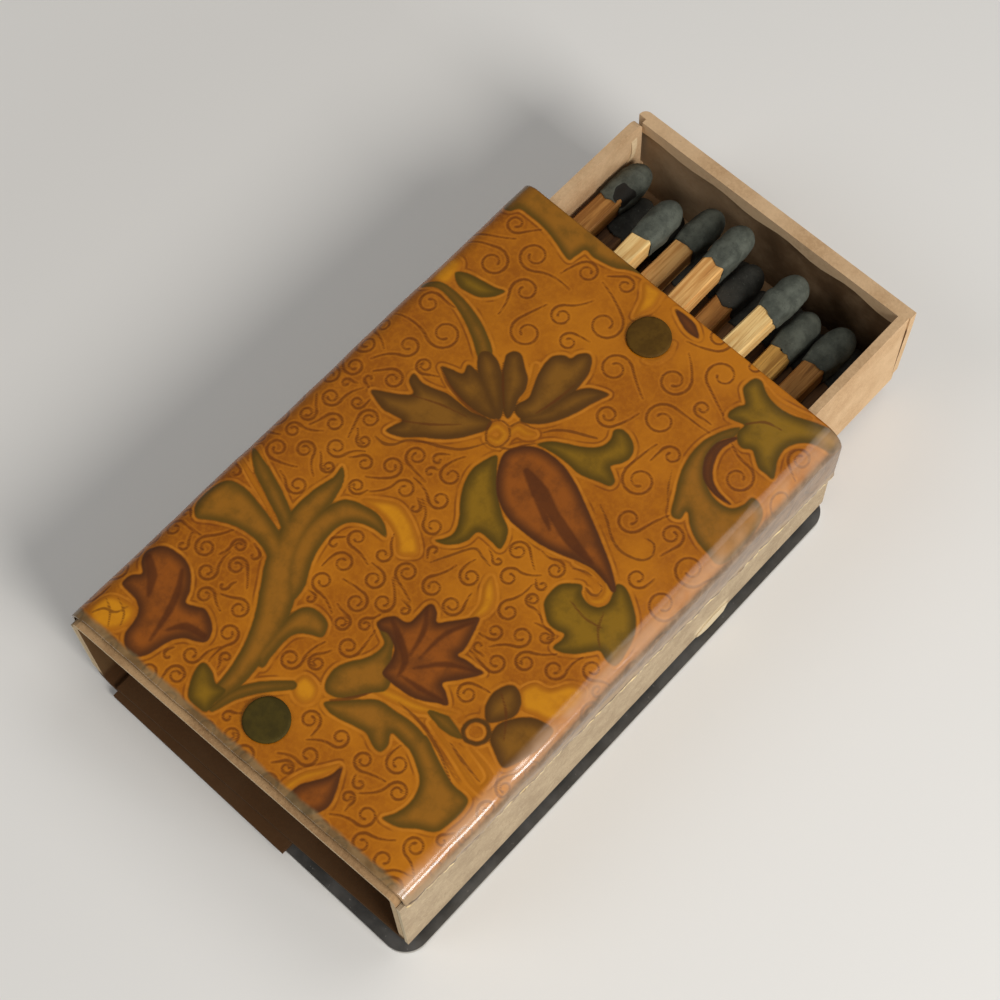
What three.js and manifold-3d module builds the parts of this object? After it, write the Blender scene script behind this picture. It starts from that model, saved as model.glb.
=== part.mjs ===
// A small sliding matchbox: a folded card sleeve with a striking strip on each long side and a glossy
// printed cover over its top, a card tray pulled part of the way out, and matches lying in the tray.
// Millimetres, +Z up. +Y is the long axis, towards the open end of the tray, and +X is the long side
// that is best seen. The origin is on the underside of the base plate, below the middle of the sleeve.
import * as THREE from 'three';
import { mergeVertices } from 'three/addons/utils/BufferGeometryUtils.js';
import Module from 'manifold-3d';

const wasm = await Module();
wasm.setup();

// Driving dimensions of the base plate
const plateThickness = 0.5;
const plateCorner = 2.2;
const plateMarginSide = 1.2;
const plateTuck = 1.5;
const plateMarginNear = 1.1;
const plateMarginFar = 0.3;

// Driving dimensions of the card sleeve. It is folded a little out of square: its left side reaches
// further than its right one at the near end and at the far end.
const sleeveLength = 53;
const sleeveWidth = 35.1;
const sleeveHeight = 13.3;
const card = 0.55;
const plyGap = 0.1;
const foldRadius = 0.95;
const lapFoldRadius = 2;
const lapReach = 22.4;
const lapOverhang = 1.5;
const skewNear = 1;
const skewFar = 0.8;

// Driving dimensions of the striking strips, and of the torn lobe on the right one's lower edge
const stripThickness = 0.35;
const stripGap = 0.05;
const stripRise = 0.1;
const tearCentre = 11.3;
const tearHalfLength = 2.1;
const tearHeight = 2.2;
const tearDrop = 0.45;
const tearBulge = 0.15;

// Driving dimensions of the printed cover and its two studs
const coverThickness = 0.35;
const coverSlack = 0.05;
const coverRollRadius = 1.9;
const coverInset = 0.5;
const hemNear = 1.6;
const hemFar = 7.8;
const hemLeft = 3;
const studDiameter = 3.9;
const studHeight = 0.3;
const studBevel = 0.12;
const studFromEnd = 3.7;
const studShift = 0.2;

// Driving dimensions of the tray and its place in the sleeve
const trayPlay = 1.7;
const trayHeadroom = 0.2;
const trayShort = 1;
const trayWall = 0.8;
const trayFloor = 0.6;
const trayCorner = 0.7;
const trayLift = 0.2;
const trayPull = 13.9;
const trayTurn = -0.3;
const trayShift = -0.42;

// Driving dimensions of the tray's turned-over far rim, its flared corner and its torn corner
const rimThickness = 0.5;
const rimDepth = 1.5;
const rimWave = 0.35;
const rimWaves = 4;
const flare = 0.15;
const splitWidth = 0.45;
const splitDepth = 7;
const splitRound = 1.1;

// Driving dimensions of one match
const splintSize = 2.1;
const headDiameter = 2.85;
const headLength = 4.6;
const headNeck = 2.3;
const headShoulder = 0.42;
const headSides = 10;
const headSteps = 5;

// Driving dimensions of how the matches lie
const headGap = 0.15;
const headNest = 0.46;
const bedClearance = 0.05;
const tipSpread = 3.2;
const tailClearance = 2.1;

// The matches, layer by layer from the floor up. slot counts the head pitches from the tray's left
// wall, tip is how far a head stops short of the turned-over rim as a share of tipSpread, and turn is
// the match's small turn in degrees. A row has the slots that the tray's width holds, and the pile
// the layers that its height holds.
const layers = [
  [
    { slot: 0.05, tip: 0.6, turn: 0 },
    { slot: 1.05, tip: 0.38, turn: 0 },
    { slot: 2.38, tip: 0.75, turn: 0.6 },
    { slot: 3.75, tip: 0.47, turn: 0 },
    { slot: 4.8, tip: 0.66, turn: 0 },
    { slot: 5.85, tip: 0.34, turn: 0 },
    { slot: 6.97, tip: 0.81, turn: 0.4 },
    { slot: 8.08, tip: 0.5, turn: 0 },
  ],
  [
    { slot: 0.57, tip: 0.69, turn: 0.3 },
    { slot: 1.53, tip: 0.44, turn: 0.5 },
    { slot: 3.23, tip: 0.81, turn: 0 },
    { slot: 4.27, tip: 0.38, turn: 0 },
    { slot: 5.33, tip: 0.72, turn: -0.3 },
    { slot: 6.37, tip: 0.5, turn: 0.4 },
    { slot: 7.58, tip: 0.66, turn: 0 },
    { slot: 8.58, tip: 0.41, turn: 0 },
  ],
  [
    { slot: 0.03, tip: 0.28, turn: -0.4 },
    { slot: 2.73, tip: 0.03, turn: 0 },
    { slot: 4.83, tip: 0.66, turn: 1 },
    { slot: 7.07, tip: 0.75, turn: 0.5 },
    { slot: 8.1, tip: 0.5, turn: -0.3 },
  ],
  [
    { slot: 1.93, tip: 1, turn: 1.5 },
    { slot: 4.03, tip: 0.3, turn: 1.5 },
    { slot: 6.23, tip: 0.5, turn: -1.5 },
  ],
];

// Sizes worked out from the driving ones
const halfLength = sleeveLength / 2;
const halfWidth = sleeveWidth / 2;
const sleeveBottom = plateThickness + card + plyGap;
const sleeveTop = sleeveBottom + sleeveHeight;
const trayWidth = sleeveWidth - 2 * (card + trayPlay);
const trayLength = sleeveLength - trayShort;
const trayHeight = sleeveHeight - 2 * card - trayLift - trayHeadroom;
const trayUnderside = sleeveBottom + card + trayLift;
const trayEnd = halfLength + trayPull;
const headPitch = headDiameter + headGap;
const firstSlot = -trayWidth / 2 + trayWall + headPitch / 2;
const layerRise = Math.sqrt((headDiameter + bedClearance) ** 2 - (headPitch * headNest) ** 2);
const firstTip = -trayWall - rimThickness;
const splintLength = trayLength - trayWall + firstTip - tipSpread - headLength - tailClearance;
const coverUnderside = sleeveTop + coverSlack;
const coverTop = coverUnderside + coverThickness;
const stripFace = halfWidth + stripGap + stripThickness;
const coverSide = stripFace + coverSlack + coverThickness;
const stripTop = coverTop - coverRollRadius;

const kraft = { color: 0xc9a06a, roughness: 0.85, metalness: 0 };
const materials = {
  plate: new THREE.MeshStandardMaterial({ color: 0x3c3d3d, roughness: 0.4, metalness: 0 }),
  sleeve: new THREE.MeshStandardMaterial(kraft),
  strip: new THREE.MeshStandardMaterial({ ...kraft, color: 0xc4a375, roughness: 0.95 }),
  cover: new THREE.MeshStandardMaterial({ color: 0xa8650f, roughness: 0.2, metalness: 0 }),
  stud: new THREE.MeshStandardMaterial({ color: 0x3d3312, roughness: 0.5, metalness: 0 }),
  tray: new THREE.MeshStandardMaterial({ ...kraft, color: 0xd0a873 }),
  splint: new THREE.MeshStandardMaterial({ color: 0xd9b06a, roughness: 0.75, metalness: 0 }),
  head: new THREE.MeshStandardMaterial({ color: 0x4a514f, roughness: 0.9, metalness: 0 }),
};

// Turns a closed geometry into a solid that can be cut or joined
function solid(geometry) {
  const bare = geometry.clone();
  bare.deleteAttribute('normal');
  bare.deleteAttribute('uv');
  const merged = mergeVertices(bare, 1e-4);
  const mesh = new wasm.Mesh({
    numProp: 3,
    vertProperties: new Float32Array(merged.attributes.position.array),
    triVerts: new Uint32Array(merged.index.array),
  });
  return new wasm.Manifold(mesh);
}

// Turns a solid back into a geometry
function geometryOf(body) {
  const mesh = body.getMesh();
  const geometry = new THREE.BufferGeometry();
  geometry.setAttribute('position', new THREE.BufferAttribute(new Float32Array(mesh.vertProperties), 3));
  geometry.setIndex(new THREE.BufferAttribute(new Uint32Array(mesh.triVerts), 1));
  geometry.computeVertexNormals();
  return geometry;
}

// A box between two corners
function boxBetween(low, high) {
  const size = high.clone().sub(low);
  const geometry = new THREE.BoxGeometry(size.x, size.y, size.z);
  const centre = low.clone().add(high).multiplyScalar(0.5);
  return geometry.translate(centre.x, centre.y, centre.z);
}

const vec = (x, y, z) => new THREE.Vector3(x, y, z);

// The closed outline of a strip of the given thickness that follows a path
function ribbon(path, thickness) {
  const left = [];
  const right = [];
  path.forEach((point, i) => {
    const before = path[Math.max(i - 1, 0)];
    const after = path[Math.min(i + 1, path.length - 1)];
    const into = point.clone().sub(before).normalize();
    const out = after.clone().sub(point).normalize();
    const along = into.add(out).normalize();
    const cosine = along.dot(i > 0 ? point.clone().sub(before).normalize() : along);
    const reach = thickness / 2 / cosine;
    left.push(new THREE.Vector2(point.x - along.y * reach, point.y + along.x * reach));
    right.push(new THREE.Vector2(point.x + along.y * reach, point.y - along.x * reach));
  });
  return new THREE.Shape([...left, ...right.reverse()]);
}

// Points of an arc, for a fold in a path
function fold(x, z, radius, fromDegrees, toDegrees, steps) {
  const points = [];
  for (let i = 0; i <= steps; i += 1) {
    const angle = THREE.MathUtils.degToRad(fromDegrees + ((toDegrees - fromDegrees) * i) / steps);
    points.push(new THREE.Vector2(x + radius * Math.cos(angle), z + radius * Math.sin(angle)));
  }
  return points;
}

// Extrudes an outline drawn in X and Z along Y, between two places
function alongY(shape, nearY, farY) {
  const geometry = new THREE.ExtrudeGeometry(shape, { depth: farY - nearY, bevelEnabled: false });
  return geometry.rotateX(Math.PI / 2).translate(0, farY, 0);
}

// A rectangle with rounded corners, drawn about its centre
function roundedRectangle(width, length, radius) {
  const shape = new THREE.Shape();
  const x = width / 2 - radius;
  const y = length / 2 - radius;
  shape.absarc(x, y, radius, 0, Math.PI / 2);
  shape.absarc(-x, y, radius, Math.PI / 2, Math.PI);
  shape.absarc(-x, -y, radius, Math.PI, Math.PI * 1.5);
  shape.absarc(x, -y, radius, Math.PI * 1.5, Math.PI * 2);
  return shape;
}

// The plate under the box
function basePlate() {
  const width = sleeveWidth + plateMarginSide - plateTuck;
  const length = sleeveLength + plateMarginNear + plateMarginFar;
  const shape = roundedRectangle(width, length, plateCorner);
  const geometry = new THREE.ExtrudeGeometry(shape, { depth: plateThickness, bevelEnabled: false, curveSegments: 6 });
  return geometry.translate((plateMarginSide + plateTuck) / 2, (plateMarginFar - plateMarginNear) / 2, 0);
}

// Moves the ends of a piece as the sleeve is out of square: not at all at its right side, most at its left
function outOfSquare(geometry) {
  const { position } = geometry.attributes;
  for (let i = 0; i < position.count; i += 1) {
    const share = (halfWidth - position.getX(i)) / sleeveWidth;
    const y = position.getY(i);
    position.setY(i, y < 0 ? y - share * skewNear : y + share * skewFar);
  }
  geometry.computeVertexNormals();
  return geometry;
}

// The sleeve: one sheet folded round, with its last ply lapped under the bottom from the left side
function cardSleeve() {
  const half = card / 2;
  const wallX = halfWidth - half;
  const topZ = sleeveTop - half;
  const bottomZ = sleeveBottom + half;
  const lapZ = plateThickness + half;
  const bend = foldRadius - half;
  const lapBend = lapFoldRadius - half;
  const path = [
    new THREE.Vector2(-halfWidth + lapFoldRadius, bottomZ),
    ...fold(wallX - bend, bottomZ + bend, bend, -90, 0, 4),
    ...fold(wallX - bend, topZ - bend, bend, 0, 90, 4),
    ...fold(-wallX + bend, topZ - bend, bend, 90, 180, 4),
    ...fold(-wallX + lapBend, lapZ + lapBend, lapBend, 180, 270, 6),
    new THREE.Vector2(-halfWidth + lapReach, lapZ),
  ];
  const tube = outOfSquare(alongY(ribbon(path, card), -halfLength, halfLength));
  const lapLow = vec(-halfWidth + lapFoldRadius, -halfLength - lapOverhang, plateThickness);
  const lapHigh = vec(-halfWidth + lapReach, -halfLength + card, plateThickness + card);
  return geometryOf(solid(tube).add(solid(boxBetween(lapLow, lapHigh))));
}

// Turns an outline drawn in Y and Z into a slab whose thickness runs along +X from a place
function alongX(shape, fromX, thickness) {
  const geometry = new THREE.ExtrudeGeometry(shape, { depth: thickness, bevelEnabled: false, curveSegments: 5 });
  const turn = new THREE.Matrix4().makeBasis(vec(0, 1, 0), vec(0, 0, 1), vec(1, 0, 0));
  return geometry.applyMatrix4(turn).translate(fromX, 0, 0);
}

// The strip along the left side: a plain ply
function leftStrip() {
  const low = vec(-stripFace, -halfLength, sleeveBottom + lapFoldRadius);
  return outOfSquare(boxBetween(low, vec(-halfWidth - stripGap, halfLength, stripTop)));
}

// The strip along the right side, with the lobe that has torn and bulged out of its lower edge
function rightStrip() {
  const stripBottom = sleeveBottom + stripRise;
  const low = vec(halfWidth + stripGap, -halfLength, stripBottom);
  const strip = solid(boxBetween(low, vec(stripFace, halfLength, stripTop)));
  const nearY = tearCentre - tearHalfLength;
  const farY = tearCentre + tearHalfLength;
  const shape = new THREE.Shape();
  shape.moveTo(nearY, stripBottom + tearHeight * 0.25);
  shape.quadraticCurveTo(nearY + tearHalfLength * 0.4, stripBottom - tearDrop, tearCentre, stripBottom - tearDrop);
  shape.lineTo(farY - tearHalfLength * 0.25, stripBottom - tearDrop * 0.6);
  shape.lineTo(farY, stripBottom + tearHeight * 0.45);
  shape.quadraticCurveTo(tearCentre, stripBottom + tearHeight, nearY, stripBottom + tearHeight * 0.25);
  return geometryOf(strip.add(solid(alongX(shape, halfWidth + stripGap, stripThickness + tearBulge))));
}

// The printed cover: flat on the top, rolled down both long edges, its right hem cut at a slant
function topCover() {
  const half = coverThickness / 2;
  const wallX = coverSide - half;
  const topZ = coverTop - half;
  const bend = coverRollRadius - half;
  const path = [
    new THREE.Vector2(wallX, coverTop - hemFar),
    ...fold(wallX - bend, topZ - bend, bend, 0, 90, 8),
    ...fold(-wallX + bend, topZ - bend, bend, 90, 180, 8),
    new THREE.Vector2(-wallX, coverTop - hemLeft),
  ];
  const nearY = -halfLength + coverInset;
  const roll = solid(alongY(ribbon(path, coverThickness), nearY, halfLength));
  const cutter = new THREE.Shape([
    new THREE.Vector2(nearY - coverInset, coverTop - hemNear),
    new THREE.Vector2(nearY - coverInset, coverTop - hemFar - 1),
    new THREE.Vector2(halfLength + coverInset, coverTop - hemFar - 1),
    new THREE.Vector2(halfLength + coverInset, coverTop - hemFar),
  ]);
  return outOfSquare(geometryOf(roll.subtract(solid(alongX(cutter, coverThickness, coverSide)))));
}

// A flat disc with a bevelled rim, standing on its own origin
function stud() {
  const radius = studDiameter / 2;
  const profile = [
    new THREE.Vector2(0, 0),
    new THREE.Vector2(radius, 0),
    new THREE.Vector2(radius, studHeight - studBevel),
    new THREE.Vector2(radius - studBevel, studHeight),
    new THREE.Vector2(0, studHeight),
  ];
  return new THREE.LatheGeometry(profile, 28).rotateX(Math.PI / 2);
}

// The tray, with its origin under the middle of its far end
function tray() {
  const depth = { bevelEnabled: false, curveSegments: 4 };
  const middle = -trayLength / 2;
  const outer = new THREE.ExtrudeGeometry(
    roundedRectangle(trayWidth, trayLength, trayCorner), { ...depth, depth: trayHeight });
  const inner = boxBetween(
    vec(-trayWidth / 2 + trayWall, middle - trayLength / 2 + trayWall, trayFloor),
    vec(trayWidth / 2 - trayWall, -trayWall, trayHeight * 2));
  let body = solid(outer.translate(0, middle, 0)).subtract(solid(inner));
  body = body.add(solid(turnedRim())).add(solid(flaredEnd()));
  const splitLow = vec(-trayWidth, -trayWall - splitWidth, trayHeight - splitDepth);
  const splitHigh = vec(-trayWidth / 2 + trayWall, -trayWall, trayHeight * 2);
  body = body.subtract(solid(boxBetween(splitLow, splitHigh)));
  return geometryOf(body.subtract(solid(roundedShoulder())));
}

// The far wall's rim, turned over inwards, with a wavy lower edge
function turnedRim() {
  const reach = trayWidth / 2 - trayWall / 2;
  const shape = new THREE.Shape();
  shape.moveTo(-reach, trayHeight);
  const steps = rimWaves * 6;
  for (let i = 0; i <= steps; i += 1) {
    const x = -reach + (2 * reach * i) / steps;
    const wave = Math.sin((i / steps) * rimWaves * Math.PI * 2) * rimWave * (0.4 + (0.6 * i) / steps);
    shape.lineTo(x, trayHeight - rimDepth + wave);
  }
  shape.lineTo(reach, trayHeight);
  return alongY(shape, -trayWall - rimThickness, -trayWall / 2);
}

// The far wall's right edge, which stands out past the side wall at the top
function flaredEnd() {
  const inside = trayWidth / 2 - trayWall;
  const shape = new THREE.Shape([
    new THREE.Vector2(inside, trayHeight * 0.1),
    new THREE.Vector2(trayWidth / 2, trayHeight * 0.1),
    new THREE.Vector2(trayWidth / 2 + flare, trayHeight * 0.8),
    new THREE.Vector2(trayWidth / 2 + flare, trayHeight),
    new THREE.Vector2(inside, trayHeight),
  ]);
  return alongY(shape, -trayWall, 0);
}

// What is missing from the left wall's far top corner
function roundedShoulder() {
  const endY = -trayWall - splitWidth;
  const shape = new THREE.Shape();
  shape.moveTo(endY - splitRound, trayHeight);
  shape.quadraticCurveTo(endY, trayHeight, endY, trayHeight - splitRound);
  shape.lineTo(endY + splitWidth / 2, trayHeight - splitRound);
  shape.lineTo(endY + splitWidth / 2, trayHeight + 1);
  shape.lineTo(endY - splitRound, trayHeight + 1);
  return alongX(shape, -trayWidth / 2 - trayWall, trayWall * 2);
}

// A splint, lying along -Y from the root of its head
const splintGeometry = new THREE.BoxGeometry(splintSize, splintLength, splintSize).translate(0, -splintLength / 2, 0);

// A dipped head, from the end of the splint at its origin to a blunt tip along +Y
function headGeometry() {
  const shoulder = headLength * headShoulder;
  const profile = [new THREE.Vector2(0, 0), new THREE.Vector2(headNeck / 2, 0)];
  for (let i = 0; i < headSteps; i += 1) {
    const angle = (i / headSteps) * (Math.PI / 2);
    const along = shoulder + (headLength - shoulder) * Math.sin(angle);
    profile.push(new THREE.Vector2((headDiameter / 2) * Math.cos(angle), along));
  }
  profile.push(new THREE.Vector2(0, headLength));
  return new THREE.LatheGeometry(profile, headSides);
}

function part(name, geometry, material) {
  const mesh = new THREE.Mesh(geometry, material);
  mesh.name = name;
  return mesh;
}

const matchbox = new THREE.Group();
matchbox.add(part('base_plate', basePlate(), materials.plate));
matchbox.add(part('card_sleeve', cardSleeve(), materials.sleeve));
matchbox.add(part('striker_left', leftStrip(), materials.strip));
matchbox.add(part('striker_right', rightStrip(), materials.strip));
matchbox.add(part('top_cover', topCover(), materials.cover));

const studs = { front_stud: -halfLength + studFromEnd, rear_stud: halfLength - studFromEnd };
Object.entries(studs).forEach(([name, y]) => {
  const disc = part(name, stud(), materials.stud);
  disc.position.set(studShift, y, coverTop);
  matchbox.add(disc);
});

// The tray and what lies in it share one group, whose origin is under the middle of the tray's far end
const trayGroup = new THREE.Group();
const turnRadians = THREE.MathUtils.degToRad(trayTurn);
trayGroup.position.set(trayShift - (Math.sin(turnRadians) * trayLength) / 2, trayEnd, trayUnderside);
trayGroup.rotation.z = turnRadians;
trayGroup.add(part('tray', tray(), materials.tray));
matchbox.add(trayGroup);

const headShape = headGeometry();
let matchCount = 0;
layers.forEach((layer, level) => {
  const height = trayFloor + headDiameter / 2 + bedClearance + level * layerRise;
  const fitting = layer.filter(({ slot }) => firstSlot + slot * headPitch <= -firstSlot + headGap);
  if (height + headDiameter / 2 <= trayHeight) {
    fitting.forEach(({ slot, tip, turn }) => {
      matchCount += 1;
      const label = String(matchCount).padStart(2, '0');
      const match = new THREE.Group();
      match.position.set(firstSlot + slot * headPitch, firstTip - tip * tipSpread - headLength, height);
      match.rotation.z = THREE.MathUtils.degToRad(turn);
      match.add(part(`match_stick_${label}`, splintGeometry, materials.splint));
      match.add(part(`match_head_${label}`, headShape, materials.head));
      trayGroup.add(match);
    });
  }
});

export default matchbox;
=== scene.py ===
"""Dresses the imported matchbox: a printed film over a card sleeve, a card tray and the matches in it.

Lengths named here are millimetres, as in the CAD source, and become metres when a mesh is made.
"""
import math

import bpy
import numpy as np
from mathutils import Matrix, Vector


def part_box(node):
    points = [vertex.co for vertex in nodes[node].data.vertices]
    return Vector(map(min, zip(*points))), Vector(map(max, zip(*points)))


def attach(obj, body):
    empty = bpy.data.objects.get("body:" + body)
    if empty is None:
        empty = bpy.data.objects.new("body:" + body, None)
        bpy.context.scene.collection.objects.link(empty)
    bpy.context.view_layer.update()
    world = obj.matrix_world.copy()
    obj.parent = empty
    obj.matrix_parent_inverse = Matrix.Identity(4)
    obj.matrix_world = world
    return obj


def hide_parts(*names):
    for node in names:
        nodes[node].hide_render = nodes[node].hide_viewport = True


MM = 0.001

# The sizes of the sleeve and its film, as in the CAD source
SLEEVE_LENGTH = 53.0
SLEEVE_WIDTH = 35.1
SKEW_NEAR = 1.0
SKEW_FAR = 0.8
COVER_SIDE = 18.35
COVER_TOP = 14.85
COVER_THICKNESS = 0.35
ROLL_RADIUS = 1.9
COVER_INSET = 0.5
HEM_NEAR = 1.6
HEM_FAR = 7.8
HEM_LEFT = 3.0
STUD_PLACES = [(0.2, -22.8), (0.2, 22.8)]

# The camera of the photograph, in pixels, degrees and millimetres
FOCAL = 2194.3
AZIMUTH = 45.38
ELEVATION = 66.25
CAMERA_ROLL = -3.01
CAMERA_AT = np.array([52.41, -47.38, 179.05])


def camera_rotation():
    """Rows are the camera's right, up and back directions."""
    azimuth = math.radians(AZIMUTH)
    elevation = math.radians(ELEVATION)
    right = np.array([math.cos(azimuth), math.sin(azimuth), 0.0])
    back = np.array([math.sin(azimuth) * math.cos(elevation),
                     -math.cos(azimuth) * math.cos(elevation), math.sin(elevation)])
    up = np.cross(back, right)
    c = math.cos(math.radians(CAMERA_ROLL))
    s = math.sin(math.radians(CAMERA_ROLL))
    return np.array([[c, s, 0], [-s, c, 0], [0, 0, 1]]) @ np.array([right, up, back])


ROTATION = camera_rotation()


def on_top(pixels):
    """Where pixels of the photograph's frame fall on the printed top, as x and y."""
    across, down = np.array(pixels, float).T
    rays = np.stack([(across - 500) / FOCAL, (500 - down) / FOCAL, -np.ones(len(down))], axis=1) @ ROTATION
    reach = (COVER_TOP - CAMERA_AT[2]) / rays[:, 2:]
    return (CAMERA_AT + reach * rays)[:, :2]


# Numbers that stay smooth from point to point

def noise(x, y, size, seed):
    """Smooth value noise from -1 to 1, with features about as wide as size."""
    table = np.random.default_rng(seed).random((64, 64)) * 2 - 1
    gx = np.asarray(x) / size + 200
    gy = np.asarray(y) / size + 200
    ix = np.floor(gx).astype(int)
    iy = np.floor(gy).astype(int)
    fx = gx - ix
    fy = gy - iy
    fx = fx * fx * (3 - 2 * fx)
    fy = fy * fy * (3 - 2 * fy)

    def at(i, j):
        return table[(ix + i) % 64, (iy + j) % 64]

    low = at(0, 0) * (1 - fx) + at(1, 0) * fx
    high = at(0, 1) * (1 - fx) + at(1, 1) * fx
    return low * (1 - fy) + high * fy


def smooth_step(value, low, high):
    t = np.clip((value - low) / (high - low), 0, 1)
    return t * t * (3 - 2 * t)


def spline(points, steps, closed=False):
    """A smooth line through points, with steps points to each stretch."""
    points = np.asarray(points, float)
    count = len(points)
    made = []
    for i in range(count if closed else count - 1):
        if closed:
            a, b, c, d = (points[(i + k - 1) % count] for k in range(4))
        else:
            a, b, c, d = (points[min(max(i + k - 1, 0), count - 1)] for k in range(4))
        for j in range(steps):
            t = j / steps
            made.append(0.5 * (2 * b + (c - a) * t + (2 * a - 5 * b + 4 * c - d) * t * t
                               + (3 * b - a - 3 * c + d) * t ** 3))
    if not closed:
        made.append(points[-1])
    return np.array(made)


# The frame

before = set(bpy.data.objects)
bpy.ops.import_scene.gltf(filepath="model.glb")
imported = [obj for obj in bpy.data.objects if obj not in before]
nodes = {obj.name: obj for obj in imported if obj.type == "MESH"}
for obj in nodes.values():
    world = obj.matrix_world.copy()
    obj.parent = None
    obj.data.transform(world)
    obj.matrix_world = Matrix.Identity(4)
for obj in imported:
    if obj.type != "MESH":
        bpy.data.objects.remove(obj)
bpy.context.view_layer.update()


# Meshes

def make_object(name, mesh, body):
    thing = bpy.data.objects.new(name, mesh)
    bpy.context.scene.collection.objects.link(thing)
    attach(thing, body)
    return thing


def mesh_of(name, points, faces, smooth=True):
    """A mesh from points in millimetres."""
    mesh = bpy.data.meshes.new(name)
    mesh.from_pydata((np.asarray(points) * MM).tolist(), [], faces)
    mesh.polygons.foreach_set("use_smooth", [smooth] * len(mesh.polygons))
    mesh.update()
    return mesh


def keep_field(mesh, name, values):
    """Gives each point of a mesh a number that its material can read."""
    mesh.attributes.new(name, "FLOAT", "POINT").data.foreach_set("value", values.astype(np.float32))


# Materials

class Graph:
    """A material's nodes, with short calls for the ones used here."""

    def __init__(self, name):
        self.material = bpy.data.materials.new(name)
        self.material.use_nodes = True
        self.tree = self.material.node_tree
        self.shader = self.tree.nodes["Principled BSDF"]

    def node(self, kind, **settings):
        made = self.tree.nodes.new("ShaderNode" + kind)
        for key, value in settings.items():
            setattr(made, key, value)
        return made

    def put(self, socket, value):
        if isinstance(value, bpy.types.NodeSocket):
            self.tree.links.new(value, socket)
        elif isinstance(value, (tuple, list)) and len(value) == 3 and len(socket.default_value) == 4:
            socket.default_value = (*value, 1.0)
        else:
            socket.default_value = value

    def set(self, **values):
        for key, value in values.items():
            self.put(self.shader.inputs[key.replace("_", " ")], value)

    def math(self, operation, a, b=0.0):
        made = self.node("Math", operation=operation)
        self.put(made.inputs[0], a)
        self.put(made.inputs[1], b)
        return made.outputs[0]

    def times(self, a, b):
        return self.math("MULTIPLY", a, b)

    def plus(self, a, b):
        return self.math("ADD", a, b)

    def mix(self, amount, a, b):
        """Colour a, with this amount of colour b over it."""
        made = self.node("Mix", data_type="RGBA", clamp_factor=True)
        self.put(made.inputs[0], amount)
        self.put(made.inputs[6], a)
        self.put(made.inputs[7], b)
        return made.outputs[2]

    def step(self, value, low, high, to_low=0.0, to_high=1.0):
        made = self.node("MapRange", interpolation_type="SMOOTHSTEP")
        for socket, number in zip(made.inputs, (value, low, high, to_low, to_high)):
            self.put(socket, number)
        return made.outputs[0]

    def place(self, stretch=(1, 1, 1)):
        """The point's own place in millimetres, stretched."""
        where = self.node("TexCoord").outputs["Object"]
        made = self.node("VectorMath", operation="MULTIPLY")
        self.put(made.inputs[0], where)
        made.inputs[1].default_value = tuple(1000 * s for s in stretch)
        return made.outputs[0]

    def noise(self, size, detail=3.0, rough=0.55, stretch=(1, 1, 1), distortion=0.0):
        """Noise from 0 to 1 whose features are about as wide as size, in millimetres."""
        made = self.node("TexNoise")
        self.put(made.inputs["Vector"], self.place(stretch))
        made.inputs["Scale"].default_value = 1 / size
        made.inputs["Detail"].default_value = detail
        made.inputs["Roughness"].default_value = rough
        made.inputs["Distortion"].default_value = distortion
        return made.outputs["Fac"]

    def field(self, name):
        return self.node("Attribute", attribute_name=name).outputs["Fac"]

    def axis(self, name):
        parts = self.node("SeparateXYZ")
        self.put(parts.inputs[0], self.place())
        return parts.outputs[name]

    def facing(self, name):
        """One component of the surface's own direction."""
        parts = self.node("SeparateXYZ")
        self.put(parts.inputs[0], self.node("NewGeometry").outputs["Normal"])
        return parts.outputs[name]

    def bump(self, height, strength, distance):
        made = self.node("Bump")
        made.inputs["Strength"].default_value = strength
        made.inputs["Distance"].default_value = distance * MM
        self.put(made.inputs["Height"], height)
        return made.outputs[0]


def rgb(red, green, blue):
    """A colour as it is seen, from 0 to 255, as the shader's linear colour."""
    return tuple(((v / 255) / 12.92 if v <= 10 else ((v / 255 + 0.055) / 1.055) ** 2.4)
                 for v in (red, green, blue))


def card_material(name, pale, dark, edge, grit=0.5, overlays=None):
    """Board: soft blotches, fine felted grain, specks, and paler cut edges."""
    g = Graph(name)
    blotch = g.step(g.noise(5.5, 4), 0.35, 0.68)
    colour = g.mix(blotch, dark, pale)
    felt = g.step(g.noise(0.3, 5, 0.7), 0.38, 0.66)
    colour = g.mix(g.times(felt, 0.35), colour, tuple(min(1, v * 1.2) for v in pale))
    speck = g.step(g.noise(0.16, 2, 0.5), 0.66, 0.74)
    colour = g.mix(g.times(speck, grit), colour, tuple(v * 0.4 for v in dark))
    cut = g.step(g.math("ABSOLUTE", g.facing("Y")), 0.75, 0.95)
    cut = g.times(cut, g.step(g.noise(0.5, 4, 0.7), 0.3, 0.6, 0.6, 1.0))
    colour = g.mix(cut, colour, edge)
    # overlays lays more colour over the board; for the sleeve and the tray it is painted shade
    if overlays:
        colour = overlays(g, colour)
    height = g.plus(g.times(felt, 0.4), g.noise(0.12, 4, 0.7))
    g.set(Base_Color=colour, Normal=g.bump(height, 0.35, 0.06),
          Roughness=g.step(blotch, 0, 1, 0.92, 0.8), Specular_IOR_Level=0.15)
    return g.material


def sleeve_painted_shade(g, colour):
    """Painted shade: the sleeve's inward faces, the lap and the bottom plies are darkened and reddened
    where shade falls.
    """
    # painted shade on the faces that look into the sleeve
    inward = g.step(g.times(g.facing("X"), g.axis("X")), -8, -2, 1.0, 0.0)
    colour = g.mix(g.times(inward, 0.85), colour, rgb(92, 66, 38))
    # painted shade on the lap and the bottom plies, below about 3 mm
    low = g.step(g.axis("Z"), 2.0, 3.2, 0.92, 0.0)
    return g.mix(low, colour, rgb(74, 48, 26))


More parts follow.
